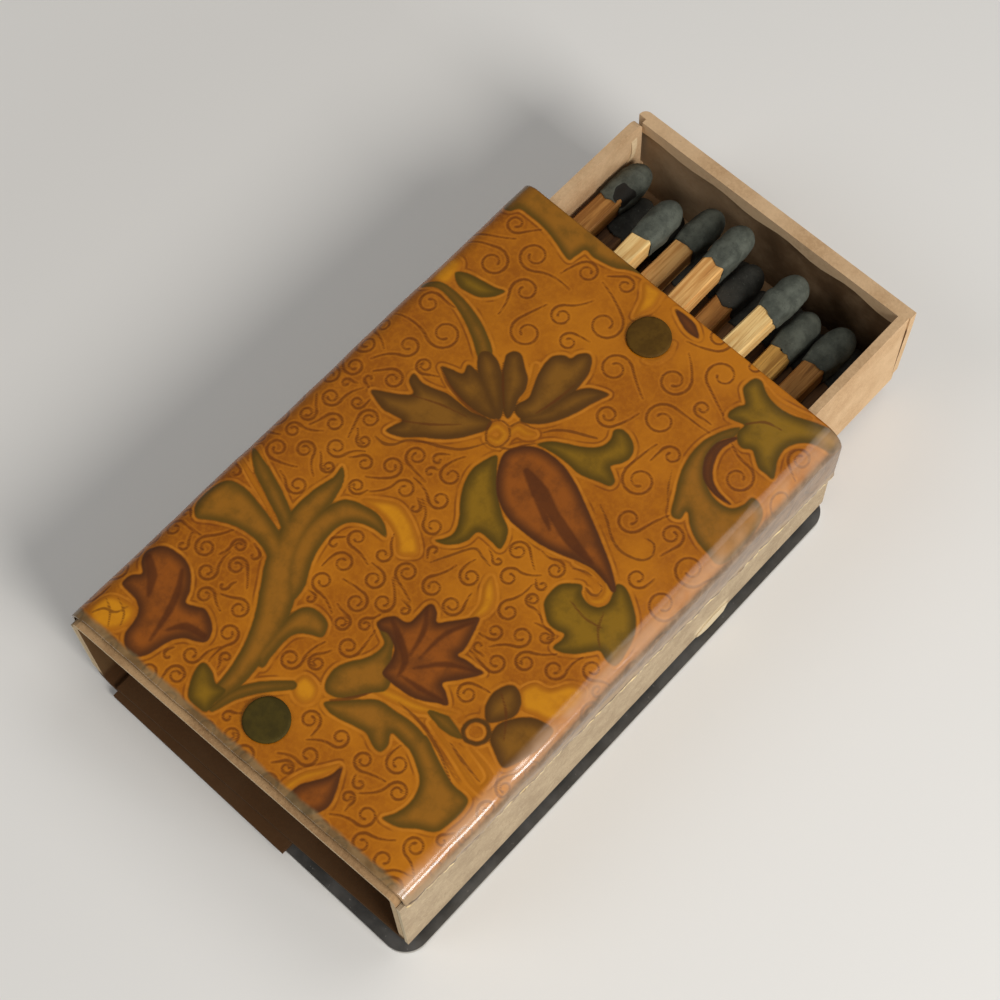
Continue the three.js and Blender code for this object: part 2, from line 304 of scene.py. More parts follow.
def tray_painted_shade(g, colour):
    """Painted shade: the inner face of the end wall is darkened, most towards its right, and so is the
    floor low in the tray.
    """
    below_rim = g.step(g.axis("Z"), 11.4, 12.0, 1.0, 0.0)
    inner = g.times(g.step(g.facing("Y"), -0.9, -0.6, 1.0, 0.0), below_rim)
    amount = g.times(inner, g.step(g.axis("X"), -15, 4, 0.5, 0.92))
    amount = g.times(amount, g.step(g.noise(3.0, 4), 0.2, 0.6, 0.75, 1.0))
    colour = g.mix(amount, colour, rgb(88, 62, 36))
    # painted shade on the tray's floor, low down
    floor = g.times(g.step(g.facing("Z"), 0.6, 0.9), g.step(g.axis("Z"), 3.0, 4.0, 0.7, 0.0))
    return g.mix(floor, colour, rgb(96, 70, 44))


# The printed film's shapes, each a smooth closed outline or a tapering stroke. Points are read off the
# photograph's frame and put on the film's top; half widths of strokes are millimetres.

OUTLINES = {}
OUTLINES["brown"] = [
    [(371, 390), (384, 391), (400, 394), (413, 393), (409, 381), (414, 373), (422, 382), (434, 388),
     (447, 393), (459, 402), (471, 411), (484, 416), (492, 421), (488, 429), (474, 434), (458, 438),
     (440, 439), (420, 437), (402, 437), (386, 431), (393, 425), (402, 420), (392, 414), (383, 409),
     (376, 400)],
    [(441, 366), (452, 369), (463, 373), (468, 364), (477, 371), (485, 381), (492, 395), (497, 408),
     (497, 419), (484, 416), (470, 407), (458, 396), (449, 384), (444, 374)],
    [(481, 352), (490, 352), (498, 361), (502, 375), (503, 392), (503, 410), (499, 420), (492, 411),
     (485, 395), (479, 378), (477, 362)],
    [(504, 362), (507, 354), (515, 351), (522, 355), (525, 367), (528, 379), (525, 391), (518, 400),
     (514, 411), (508, 419), (503, 411), (501, 395), (501, 378)],
    [(545, 363), (553, 356), (564, 355), (571, 358), (578, 354), (588, 353), (592, 359), (590, 371),
     (583, 382), (573, 393), (561, 403), (549, 413), (537, 420), (524, 420), (515, 413), (517, 404),
     (528, 398), (533, 387), (538, 374)],
    [(609, 394), (599, 400), (588, 406), (576, 413), (562, 419), (548, 423), (533, 424), (520, 421),
     (526, 413), (541, 409), (555, 401), (568, 393), (580, 389), (592, 388)],
    [(487, 722), (485, 708), (491, 695), (502, 687), (513, 685), (520, 693), (521, 705), (515, 716),
     (502, 721)],
    [(497, 725), (511, 719), (529, 717), (544, 722), (554, 731), (542, 747), (526, 758), (511, 766),
     (502, 767), (494, 752), (490, 738)],
]
OUTLINES["green"] = [
    [(497, 455), (484, 460), (472, 469), (464, 483), (460, 500), (459, 518), (454, 532), (444, 538),
     (435, 540), (444, 544), (457, 544), (468, 540), (477, 532), (484, 535), (492, 542), (500, 549),
     (506, 540), (508, 528), (503, 516), (499, 500), (497, 484), (497, 468)],
    [(537, 444), (551, 441), (566, 443), (581, 446), (595, 447), (605, 444), (611, 438), (614, 430),
     (622, 429), (630, 436), (634, 447), (631, 457), (622, 463), (611, 466), (613, 473), (615, 481),
     (610, 486), (599, 482), (588, 478), (578, 473), (568, 464), (556, 455), (546, 449)],
    [(545, 613), (544, 602), (550, 592), (560, 584), (572, 583), (582, 585), (582, 594), (588, 603),
     (598, 607), (608, 603), (612, 595), (617, 584), (626, 588), (632, 602), (636, 618), (635, 635),
     (628, 651), (618, 665), (607, 661), (600, 651), (590, 652), (575, 654), (560, 652), (553, 647),
     (561, 640), (564, 634), (556, 630), (548, 623)],
    [(748, 382), (755, 378), (762, 381), (766, 391), (772, 400), (782, 409), (796, 416), (812, 421),
     (828, 427), (842, 435), (848, 446), (838, 452), (822, 447), (808, 443), (795, 444), (784, 450),
     (778, 460), (776, 470), (773, 479), (766, 474), (758, 467), (755, 458), (752, 450), (742, 448),
     (737, 440), (738, 431), (744, 425), (735, 421), (728, 417), (730, 411), (738, 406), (745, 404),
     (744, 396), (743, 388)],
    [(455, 272), (468, 273), (482, 280), (495, 287), (505, 291), (495, 296), (480, 297), (468, 292),
     (458, 285)],
    [(196, 668), (204, 662), (212, 671), (216, 683), (226, 690), (216, 701), (206, 712), (196, 706),
     (188, 697), (190, 682)],
]
OUTLINES["olive"] = [
    [(196, 500), (212, 485), (228, 480), (244, 487), (259, 503), (273, 522), (286, 545), (284, 575),
     (272, 572), (264, 550), (250, 535), (232, 525), (212, 520), (196, 517)],
    [(340, 500), (352, 500), (366, 506), (378, 514), (385, 525), (386, 537), (374, 529), (360, 523),
     (346, 523), (334, 530), (322, 544), (312, 562), (304, 588), (290, 600), (284, 570), (296, 535),
     (318, 512)],
    [(282, 622), (298, 609), (311, 607), (322, 614), (328, 625), (322, 637), (309, 634), (296, 634),
     (285, 641), (272, 656), (262, 668), (256, 652)],
    [(502, 203), (509, 210), (520, 209), (534, 219), (544, 228), (554, 240), (562, 252), (569, 260),
     (574, 257), (580, 253), (586, 250), (593, 257), (604, 263), (615, 268), (628, 270), (642, 275),
     (652, 283), (664, 292), (670, 288), (640, 260), (600, 228), (562, 198), (534, 178), (520, 182),
     (508, 192)],
    [(740, 427), (722, 431), (703, 441), (689, 456), (680, 474), (675, 494), (671, 514), (680, 519),
     (687, 511), (690, 526), (697, 541), (707, 553), (718, 563), (732, 560), (748, 546), (759, 531),
     (765, 515), (760, 503), (752, 497), (744, 504), (732, 508), (720, 503), (711, 493), (706, 480),
     (706, 465), (712, 451), (722, 440), (734, 437)],
    [(377, 622), (380, 632), (384, 643), (376, 652), (364, 658), (350, 661), (336, 667), (327, 678),
     (325, 690), (335, 697), (352, 698), (370, 693), (386, 690), (392, 676), (392, 655), (394, 640),
     (388, 630)],
    [(324, 702), (340, 700), (360, 699), (379, 700), (396, 711), (412, 722), (425, 736), (430, 752),
     (420, 760), (408, 748), (398, 738), (391, 733), (388, 745), (380, 752), (372, 745), (366, 733),
     (352, 725), (338, 718), (328, 711)],
    [(425, 735), (434, 750), (442, 766), (453, 784), (468, 799), (462, 812), (450, 823), (436, 832),
     (418, 829), (398, 827), (382, 818), (395, 813), (408, 804), (417, 791), (419, 776), (413, 757),
     (408, 742)],
]
OUTLINES["rust"] = [
    [(505, 452), (520, 446), (537, 447), (552, 455), (565, 467), (576, 484), (586, 505), (596, 528),
     (605, 550), (612, 570), (616, 588), (612, 592), (604, 581), (592, 569), (575, 560), (555, 552),
     (538, 543), (522, 531), (508, 518), (499, 502), (496, 485), (498, 467)],
    [(150, 547), (165, 546), (178, 553), (187, 562), (191, 575), (190, 590), (186, 602), (195, 606),
     (205, 609), (211, 620), (212, 632), (206, 642), (195, 641), (183, 638), (170, 641), (158, 648),
     (146, 655), (134, 656), (125, 646), (125, 633), (133, 622), (138, 611), (136, 600), (128, 591),
     (122, 583), (130, 575), (142, 573), (141, 562), (143, 552)],
    [(377, 622), (385, 617), (396, 616), (404, 621), (411, 621), (420, 612), (427, 605), (433, 604),
     (437, 612), (437, 622), (448, 621), (462, 619), (479, 617), (476, 628), (470, 640), (464, 650),
     (458, 655), (467, 660), (476, 667), (484, 673), (473, 677), (458, 680), (443, 683), (446, 692),
     (448, 705), (437, 703), (424, 701), (410, 696), (398, 688), (388, 680), (382, 672), (390, 661),
     (394, 648), (388, 634), (380, 630)],
    [(342, 766), (330, 775), (315, 780), (300, 784), (290, 792), (284, 800), (292, 810), (305, 815),
     (320, 812), (330, 805), (336, 792), (340, 778)],
    [(675, 309), (686, 315), (696, 325), (699, 338), (690, 334), (682, 325)],
]
OUTLINES["gold"] = [
    [(90, 607), (100, 598), (112, 595), (125, 600), (135, 608), (133, 618), (125, 626), (112, 630),
     (99, 628), (90, 619)],
    [(362, 499), (385, 500), (400, 505), (410, 518), (417, 535), (419, 553), (406, 556), (397, 552),
     (396, 538), (388, 522), (376, 510)],
    [(305, 675), (314, 681), (318, 690), (314, 700), (304, 704), (295, 698), (292, 688), (296, 680)],
    [(520, 691), (535, 683), (550, 689), (570, 684), (586, 690), (582, 703), (569, 715), (552, 722),
     (535, 715), (522, 709)],
    [(280, 790), (288, 781), (304, 772), (322, 768), (340, 764), (326, 774), (304, 782), (290, 791)],
    [(440, 262), (452, 254), (462, 262), (458, 274), (448, 284), (436, 282), (430, 276)],
    [(484, 585), (492, 576), (496, 592), (494, 606), (484, 616), (470, 618), (480, 604)],
    [(644, 282), (655, 286), (662, 292), (659, 300), (652, 309), (643, 313), (634, 317), (637, 309),
     (642, 298)],
]

STROKES = {}
STROKES["olive"] = [
    ([(204, 702), (230, 683), (252, 655), (268, 625), (277, 595), (281, 565), (290, 540), (305, 515),
     (322, 497), (338, 480), (342, 466)], [0.35, 0.8, 1.0, 1.3, 1.5, 1.35, 1.2, 1.15, 1.0, 0.5, 0.03]),
    ([(252, 446), (262, 470), (275, 495), (288, 525), (290, 550)], [0.1, 0.65, 0.7, 0.6, 0.5]),
    ([(212, 709), (235, 694), (262, 687), (292, 685)], [0.25, 0.5, 0.5, 0.4]),
    ([(422, 282), (440, 285), (455, 297), (467, 312), (477, 330), (484, 350), (489, 376), (497, 412)],
     [0.25, 0.35, 0.45, 0.55, 0.65, 0.7, 0.5, 0.15]),
    ([(430, 712), (444, 722), (453, 731), (462, 738)], [0.2, 0.6, 0.45, 0.1]),
]
STROKES["brown"] = [
    ([(476, 744), (466, 740), (463, 731), (468, 723), (477, 720), (486, 724), (489, 733), (485, 741),
     (476, 744)], [0.18] * 9),
]
STROKES["rust"] = [
    ([(736, 438), (720, 445), (710, 459), (708, 477), (716, 492), (730, 504)],
     [0.15, 0.35, 0.45, 0.4, 0.25, 0.08]),
]
STROKES["gold"] = [
    ([(377, 688), (395, 697), (420, 708), (457, 714)], [0.5, 0.5, 0.42, 0.06]),
    ([(576, 562), (592, 568), (605, 578), (609, 590), (603, 600), (592, 601), (587, 592)],
     [0.1, 0.3, 0.4, 0.45, 0.45, 0.35, 0.2]),
    ([(239, 456), (252, 478), (265, 500), (274, 520)], [0.12, 0.2, 0.18, 0.05]),
    ([(258, 446), (270, 474), (284, 500), (294, 520)], [0.1, 0.15, 0.15, 0.05]),
    ([(536, 366), (532, 382), (524, 398), (516, 408)], [0.2, 0.18, 0.15, 0.08]),
    ([(447, 392), (460, 403), (475, 413), (484, 415)], [0.1, 0.14, 0.14, 0.05]),
    ([(696, 494), (704, 510), (716, 524), (736, 538)], [0.08, 0.2, 0.28, 0.2]),
    ([(766, 388), (775, 400), (790, 409), (812, 418)], [0.12, 0.22, 0.2, 0.06]),
    ([(470, 748), (490, 775), (478, 790)], [0.06, 0.25, 0.1]),
    ([(430, 722), (452, 752), (470, 780), (482, 794)], [0.08, 0.22, 0.25, 0.12]),
    ([(488, 432), (497, 426), (505, 434), (498, 442), (489, 438)], [0.3, 0.4, 0.4, 0.4, 0.3]),
    ([(510, 433), (518, 428), (526, 433), (534, 434)], [0.3, 0.4, 0.35, 0.2]),
    ([(645, 360), (656, 361), (667, 354), (673, 344)], [0.04, 0.16, 0.16, 0.04]),
]
STROKES["dark"] = [
    ([(527, 471), (540, 492), (553, 513), (571, 540), (592, 563)], [0.3, 0.75, 0.5, 0.55, 0.15]),
    ([(536, 500), (545, 517), (550, 530)], [0.15, 0.3, 0.1]),
    ([(392, 620), (400, 640), (405, 660), (398, 676)], [0.15, 0.35, 0.3, 0.1]),
    ([(427, 608), (424, 630), (410, 655)], [0.1, 0.25, 0.1]),
    ([(474, 622), (445, 634), (420, 658)], [0.1, 0.22, 0.1]),
    ([(478, 672), (446, 664), (414, 668)], [0.1, 0.25, 0.1]),
    ([(442, 700), (420, 688), (402, 676)], [0.1, 0.25, 0.1]),
    ([(182, 570), (178, 590), (168, 612), (150, 640)], [0.15, 0.3, 0.3, 0.1]),
    ([(148, 556), (152, 575), (148, 596)], [0.3, 0.45, 0.15]),
    ([(204, 636), (186, 626), (166, 630)], [0.25, 0.35, 0.1]),
]
STROKES["line"] = [
    ([(375, 436), (384, 443), (394, 444), (406, 440), (421, 441), (440, 446), (460, 449), (476, 446),
     (488, 442)], [0.08, 0.15, 0.13, 0.11, 0.12, 0.14, 0.13, 0.1, 0.04]),
    ([(541, 433), (555, 430), (570, 431), (585, 435), (597, 438)], [0.04, 0.12, 0.14, 0.14, 0.08]),
    ([(486, 434), (489, 424), (498, 420), (507, 424), (510, 434), (505, 443), (496, 447), (487, 442),
     (486, 434)], [0.1] * 9),
    ([(511, 426), (519, 422), (527, 425), (535, 429)], [0.1, 0.1, 0.1, 0.05]),
    ([(500, 447), (512, 449), (524, 445), (536, 443)], [0.12, 0.1, 0.08, 0.05]),
    ([(586, 588), (591, 594), (598, 595), (602, 588), (598, 582)], [0.1, 0.12, 0.1, 0.08, 0.05]),
    ([(572, 568), (584, 571), (592, 576)], [0.05, 0.12, 0.05]),
    ([(92, 612), (104, 608), (116, 612), (128, 606)], [0.06, 0.12, 0.1, 0.05]),
    ([(106, 598), (110, 610), (108, 626)], [0.05, 0.1, 0.05]),
    ([(118, 598), (124, 612), (120, 626)], [0.05, 0.1, 0.05]),
    ([(441, 367), (446, 380), (456, 394), (470, 408), (484, 417)], [0.05, 0.14, 0.16, 0.14, 0.05]),
    ([(503, 362), (503, 385), (504, 408)], [0.05, 0.12, 0.06]),
    ([(575, 384), (556, 400), (536, 413)], [0.05, 0.12, 0.05]),
    ([(400, 420), (430, 424), (462, 424)], [0.04, 0.12, 0.04]),
    ([(412, 395), (440, 404), (466, 416)], [0.05, 0.1, 0.05]),
    ([(500, 690), (506, 712), (504, 740)], [0.05, 0.12, 0.05]),
    ([(604, 612), (598, 630), (600, 648)], [0.05, 0.12, 0.05]),
    ([(570, 600), (585, 618), (602, 628)], [0.05, 0.1, 0.05]),
    ([(745, 424), (765, 422), (782, 430)], [0.05, 0.14, 0.05]),
    ([(398, 702), (420, 722), (438, 750), (452, 785)], [0.05, 0.14, 0.14, 0.05]),
    ([(330, 700), (350, 698), (372, 692)], [0.1, 0.16, 0.05]),
    ([(672, 470), (668, 490), (668, 512)], [0.04, 0.1, 0.04]),
    ([(600, 504), (607, 520), (612, 538), (622, 552), (640, 560), (652, 556), (654, 544), (645, 538)],
     [0.05, 0.12, 0.12, 0.12, 0.12, 0.1, 0.1, 0.06]),
    ([(430, 562), (450, 555), (474, 548), (482, 556), (490, 566)], [0.05, 0.12, 0.12, 0.12, 0.05]),
    ([(450, 742), (462, 760), (480, 782)], [0.05, 0.14, 0.05]),
]

FIELDS = ("gold", "olive", "green", "brown", "rust", "dark", "line", "curl")


def near(points, line, margin):
    low = line.min(0) - margin
    high = line.max(0) + margin
    return np.nonzero(np.all((points > low) & (points < high), axis=1))[0]


def stamp_outline(field, points, pixels):
    """Lowers a field to the signed distance from a closed outline."""
    line = spline(on_top(pixels), 5, closed=True)
    chosen = near(points, line, 2.0)
    spots = points[chosen]
    best = np.full(len(chosen), 9.0)
    inside = np.zeros(len(chosen), bool)
    for a, b in zip(line, np.roll(line, -1, axis=0)):
        along = b - a
        t = np.clip(((spots - a) @ along) / max(along @ along, 1e-9), 0, 1)
        best = np.minimum(best, np.linalg.norm(spots - a - t[:, None] * along, axis=1))
        if a[1] != b[1]:
            crosses = (a[1] > spots[:, 1]) != (b[1] > spots[:, 1])
            inside ^= crosses & (spots[:, 0] < a[0] + (spots[:, 1] - a[1]) * along[0] / along[1])
    field[chosen] = np.minimum(field[chosen], np.where(inside, -best, best))


def stamp_stroke(field, points, line, widths):
    """Lowers a field to the signed distance from a stroke whose half width changes along it."""
    chosen = near(points, line, 2.0)
    spots = points[chosen]
    best = np.full(len(chosen), 9.0)
    for i in range(len(line) - 1):
        along = line[i + 1] - line[i]
        t = np.clip(((spots - line[i]) @ along) / max(along @ along, 1e-9), 0, 1)
        away = np.linalg.norm(spots - line[i] - t[:, None] * along, axis=1)
        best = np.minimum(best, away - widths[i] - (widths[i + 1] - widths[i]) * t)
    field[chosen] = np.minimum(field[chosen], best)


def curl_line(centre, radius, start, hand, turns):
    """A loose spiral from its rim inwards, with its half widths."""
    t = np.linspace(0, 1, 22)
    reach = radius * (1 - 0.68 * t ** 0.9)
    angle = start + hand * t * turns * 2 * math.pi
    line = centre + np.stack([reach * np.cos(angle), reach * np.sin(angle)], axis=1)
    widths = 0.12 - 0.045 * t
    widths[-2:] = 0.11
    return line, widths


def tail_line(centre, radius, start, hand, length, bend):
    """A line that leaves a spiral's rim and swings away from it, or round it where bend is negative."""
    away = np.array([math.cos(start), math.sin(start)])
    out = np.array([away[1], -away[0]]) * hand
    t = np.linspace(0, 1, 10)[:, None]
    return centre + away * radius + out * length * t + away * bend * length * t * t


def stamp_curls(field, points, free, sample):
    """Fills what the motifs leave free with spirals, whose tails run on until they meet something."""
    rng = np.random.default_rng(11)
    open_field = points[:, 1] + 0.25 * points[:, 0] > 5
    for radius in (1.75, 1.5, 1.25, 1.05, 0.88, 0.72, 0.56):
        wide = open_field if radius > 1.2 else ~open_field if radius < 0.8 else True
        for _ in range(400):
            spots = np.nonzero((free >= radius) & wide)[0]
            if len(spots) == 0:
                break
            picks = rng.choice(spots, min(16, len(spots)))
            centre = points[picks[np.argmin(free[picks])]]
            size = radius * rng.uniform(0.82, 0.95)
            best = None
            for _ in range(9):
                hand = rng.choice([-1, 1])
                start = rng.uniform(0, 2 * math.pi)
                length = size * rng.uniform(1.0, 2.4)
                tail = tail_line(centre, size, start, hand, length, rng.uniform(-0.3, 0.7))
                clear = sample(free, tail[2:]) > 0.14
                run = len(clear) if clear.all() else int(np.argmin(clear))
                reach = run * np.linalg.norm(tail[1] - tail[0])
                if best is None or reach > best[0]:
                    best = (reach, tail[:run + 3], start, hand)
            _, tail, start, hand = best
            turns = rng.uniform(1.05, 1.4) if radius > 0.6 else rng.uniform(0.5, 0.9)
            line, widths = curl_line(centre, size, start, hand, turns)
            stamp_stroke(field, points, line, widths)
            stamp_stroke(field, points, tail, np.linspace(0.12, 0.06, len(tail)))
            gap = 0.42 if open_field[picks[0]] else 0.2
            free[:] = np.minimum(free, np.linalg.norm(points - centre, axis=1) - size - gap)
            room = np.full(len(points), 9.0)
            stamp_stroke(room, points, tail, np.full(len(tail), gap))
            free[:] = np.minimum(free, room)


# The printed film

FILM_COLUMNS = 285
FILM_ROWS = 340
FILM_SINK = 0.05
HEM_SHORT = 0.25
LIP_SHORT = 0.12
DENTS = [(-13.2, 1.7, 1.0), (-1.5, 2.6, 0.7)]
FLAT = COVER_SIDE - ROLL_RADIUS
ARC = ROLL_RADIUS * math.pi / 2


def film_section(u):
    """Place and direction of the film's outer face, at a distance across it from its middle line."""
    side = np.sign(u)
    away = np.abs(u)
    turn = np.clip((away - FLAT) / ROLL_RADIUS, 0, math.pi / 2)
    down = np.maximum(away - FLAT - ARC, 0)
    x = np.minimum(away, FLAT) + ROLL_RADIUS * np.sin(turn)
    z = COVER_TOP - ROLL_RADIUS * (1 - np.cos(turn)) - down
    return side * x, z, side * np.sin(turn), np.cos(turn)


def film_reach(drop):
    """How far across the film lies a point that is this much below its top."""
    turn = np.arccos(np.clip(1 - drop / ROLL_RADIUS, 0, 1))
    return FLAT + np.where(drop < ROLL_RADIUS, ROLL_RADIUS * turn, ARC + drop - ROLL_RADIUS)


def film_ends(x):
    """The near and far ends of the film at a place across it: the sleeve is a little out of square."""
    share = (SLEEVE_WIDTH / 2 - x) / SLEEVE_WIDTH
    return -SLEEVE_LENGTH / 2 + COVER_INSET - SKEW_NEAR * share, SLEEVE_LENGTH / 2 + SKEW_FAR * share


def printed_film():
    """The film's mesh, its surface a little uneven, with a field for each ink."""
    v = np.linspace(0, 1, FILM_ROWS)[:, None]
    s = np.linspace(0, 1, FILM_COLUMNS)[None, :]
    along = SLEEVE_LENGTH * (v - 0.5) + 0 * s
    crinkle = noise(along, 0 * along, 1.1, 3) * 0.16 + noise(along, 0 * along, 0.35, 4) * 0.06
    drop = HEM_NEAR + HEM_SHORT + (HEM_FAR - HEM_NEAR - HEM_SHORT) * v + crinkle
    right = film_reach(drop)
    left = film_reach(np.full_like(drop, HEM_LEFT)) + noise(along, 0 * along, 1.6, 5) * 0.15
    u = -left + (right + left) * s
    x, z, nx, nz = film_section(u)
    near_end, far_end = film_ends(x)
    y = near_end + (far_end - near_end) * v
    y = y + np.where(v < 0.04, (1 - v / 0.04) * (0.05 + 0.05 * noise(u, 0 * u, 2.2, 6)), 0)
    hem = smooth_step(u - right, -1.6, 0)
    puff = 0.035 * noise(u, y, 7.0, 8) + 0.012 * noise(u, y, 1.7, 9)
    puff = puff + hem * (0.05 * noise(u, y * 2.2, 0.7, 10) + 0.06 * noise(u * 3, y, 1.4, 12))
    roll = smooth_step(np.abs(u), FLAT - 1.5, FLAT + 1.5) * (1 - hem)
    dent = sum(depth * np.exp(-((y - place) / reach) ** 2) for place, reach, depth in DENTS)
    puff = puff + roll * (0.05 * noise(u * 0.6, y, 3.0, 13) - 0.16 * dent * (u > 0)) - FILM_SINK
    outer = np.stack([x + nx * puff, y, z + nz * puff], axis=2).reshape(-1, 3)
    inward = np.stack([nx, 0 * nx, nz], axis=2).reshape(-1, 3) * (COVER_THICKNESS - LIP_SHORT)

    index = np.arange(FILM_ROWS * FILM_COLUMNS).reshape(FILM_ROWS, FILM_COLUMNS)
    faces = np.stack([index[:-1, :-1], index[:-1, 1:], index[1:, 1:], index[1:, :-1]], axis=2)
    faces = faces.reshape(-1, 4)
    rim = np.concatenate([index[0, :], index[1:, -1], index[-1, -2::-1], index[-2:0:-1, 0]])
    lip = len(outer) + np.arange(len(rim))
    lip_faces = np.stack([rim, lip, np.roll(lip, -1), np.roll(rim, -1)], axis=1)
    points = np.concatenate([outer, outer[rim] - inward[rim]])
    mesh = mesh_of("film", points, np.concatenate([faces, lip_faces]).tolist())

    flat = np.stack([u, y], axis=2).reshape(-1, 2)
    fields = {name: np.full(len(flat), 9.0) for name in FIELDS}
    for name, shapes in OUTLINES.items():
        for pixels in shapes:
            stamp_outline(fields[name], flat, pixels)
    for name, strokes in STROKES.items():
        for pixels, widths in strokes:
            line = spline(on_top(pixels), 4)
            spread = np.interp(np.linspace(0, 1, len(line)), np.linspace(0, 1, len(widths)), widths)
            stamp_stroke(fields[name], flat, line, spread)
    motifs = np.minimum.reduce([fields[name] for name in ("gold", "olive", "green", "brown", "rust")])
    studs = np.min([np.hypot(*(flat - place).T) - 1.95 for place in STUD_PLACES], axis=0)

    def sample(values, spots):
        near_end, far_end = film_ends(spots[:, 0])
        share = (spots[:, 1] - near_end) / (far_end - near_end)
        row = np.clip(share * (FILM_ROWS - 1), 0, FILM_ROWS - 1).astype(int)
        across = (spots[:, 0] + left[row, 0]) / (right[row, 0] + left[row, 0])
        column = np.clip(across * (FILM_COLUMNS - 1), 0, FILM_COLUMNS - 1).astype(int)
        return values[row * FILM_COLUMNS + column]

    to_hem = (right - u).reshape(-1)
    free = np.minimum.reduce([motifs - 0.2, fields["line"] - 0.2, studs - 0.2, to_hem + 0.4])
    stamp_curls(fields["curl"], flat, free, sample)
    fields["motif"] = motifs
    fields["across"] = flat[:, 0]
    fields["to_hem"] = to_hem
    fields["to_end"] = (y - near_end).reshape(-1)
    for name, values in fields.items():
        keep_field(mesh, name, np.concatenate([values, values[rim]]))
    return mesh


def film_material():
    g = Graph("printed_film")
    across = g.field("across")
    to_hem = g.field("to_hem")
    to_end = g.field("to_end")
    motif = g.field("motif")
    cloud = g.step(g.noise(6.0, 4), 0.35, 0.68)
    grain = g.noise(0.42, 4, 0.65)
    ground = g.mix(cloud, rgb(154, 86, 4), rgb(180, 108, 10))
    # painted shade: the printed ground darkens towards the left side, away from the key lamp
    ground = g.mix(g.step(across, -17, -5, 0.45, 0.0), ground, rgb(124, 64, 6))
    ground = g.mix(g.times(g.step(grain, 0.4, 0.65), 0.3), ground, rgb(188, 114, 12))
    wobble = g.times(g.math("SUBTRACT", g.noise(0.5, 3), 0.5), 0.1)

    def mask(name, soft=0.1):
        return g.step(g.plus(g.field(name), wobble), -soft, soft, 1.0, 0.0)

    def ring(field, a, b, c, d):
        return g.times(g.step(field, a, b), g.step(field, c, d, 1.0, 0.0))

    patchy = g.step(g.noise(2.6, 2), 0.4, 0.6)
    pale_rim = g.times(ring(motif, 0.02, 0.1, 0.2, 0.32), g.step(g.noise(2.0, 2), 0.3, 0.7, 0.1, 0.6))
    colour = g.mix(pale_rim, ground, rgb(198, 124, 30))
    dark_rim = g.times(ring(motif, 0.26, 0.36, 0.42, 0.54), patchy)
    colour = g.mix(g.times(dark_rim, 0.6), colour, rgb(112, 56, 6))
    curl_rim = g.times(ring(g.field("curl"), 0.05, 0.1, 0.14, 0.24), 0.22)
    colour = g.mix(curl_rim, colour, rgb(196, 120, 18))

    overlays = {
        "gold": (rgb(166, 98, 8), rgb(200, 130, 14), 0.6),
        "olive": (rgb(92, 66, 10), rgb(146, 94, 20), 1.0),
        "green": (rgb(84, 62, 6), rgb(134, 98, 14), 1.1),
        "brown": (rgb(84, 52, 10), rgb(128, 84, 20), 1.3),
        "rust": (rgb(80, 42, 12), rgb(142, 76, 16), 1.2),
    }
    for name, (edge, middle, depth) in overlays.items():
        inside = g.step(g.field(name), -depth, -0.05, 1.0, 0.0)
        inside = g.times(inside, g.step(g.noise(1.6, 4, 0.6), 0.25, 0.6, 0.45, 1.0))
        colour = g.mix(mask(name), colour, g.mix(inside, edge, middle))
    colour = g.mix(g.times(mask("dark", 0.16), 0.75), colour, rgb(76, 36, 8))
    colour = g.mix(g.times(mask("line", 0.07), 0.7), colour, rgb(92, 46, 6))
    curl = g.times(mask("curl", 0.06), g.step(g.noise(1.0, 3), 0.2, 0.45, 0.5, 0.8))
    colour = g.mix(curl, colour, rgb(104, 52, 2))

    ragged = g.math("SUBTRACT", g.noise(1.4, 4, 0.6), 0.5)
    print_end = g.step(g.plus(to_end, g.times(ragged, 0.5)), 0.55, 1.0, 1.0, 0.0)
    clear = g.mix(g.step(g.noise(1.6, 3), 0.35, 0.65), rgb(98, 82, 54), rgb(132, 110, 76))
    colour = g.mix(g.times(print_end, 0.85), colour, clear)
    side = g.mix(g.step(g.noise(1.1, 4, 0.6), 0.35, 0.65), rgb(94, 76, 56), rgb(126, 104, 80))
    colour = g.mix(g.step(across, 17.7, 18.7, 0.0, 0.9), colour, side)
    # Partly painted sheen: a pale band along the right roll stands for the lamps' glare on the glossy
    # film, over the film's own paler look there.
    pale_film_and_painted_sheen = g.times(ring(across, 16.3, 17.4, 17.8, 18.7),
                    g.step(g.noise(4.5, 3), 0.3, 0.65, 0.15, 0.6))
    colour = g.mix(pale_film_and_painted_sheen, colour, rgb(186, 150, 118))
    band = g.step(g.plus(to_hem, g.times(ragged, 0.4)), 0.9, 1.9, 1.0, 0.0)
    colour = g.mix(g.times(band, 0.7), colour, rgb(158, 132, 98))
    # painted glints and shade: pale dashes at the hem and dark dashes just inside it stand for light and
    # shade on the crinkled edge
    dash = g.step(g.noise(0.7, 3, 0.6, (1, 0.6, 1)), 0.42, 0.54)
    hem_painted_shade = g.times(ring(to_hem, 0.24, 0.34, 0.42, 0.6), g.step(dash, 0, 1, 0.9, 0.3))
    colour = g.mix(hem_painted_shade, colour, rgb(70, 50, 30))
    hem_painted_glint = g.times(ring(to_hem, -0.1, 0.02, 0.2, 0.34), dash)
    colour = g.mix(hem_painted_glint, colour, rgb(232, 204, 146))

    sunk = g.times(mask("curl", 0.12), -0.8)
    raised = g.step(motif, -0.3, 0.12, 0.8, 0.0)
    height = g.plus(g.plus(sunk, raised), g.times(grain, 0.4))
    g.set(Base_Color=colour, Normal=g.bump(height, 0.4, 0.08),
          Roughness=g.step(g.noise(2.2, 3), 0.3, 0.7, 0.4, 0.55), Specular_IOR_Level=0.08,
          Coat_Weight=0.65, Coat_Roughness=0.15, Coat_Normal=g.bump(g.noise(1.3, 2), 0.2, 0.03))
    return g.material


film = make_object("printed_film", printed_film(), "box_sleeve")
film.data.materials.append(film_material())
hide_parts("top_cover")


# The studs: flat dark discs with a softly rounded rim

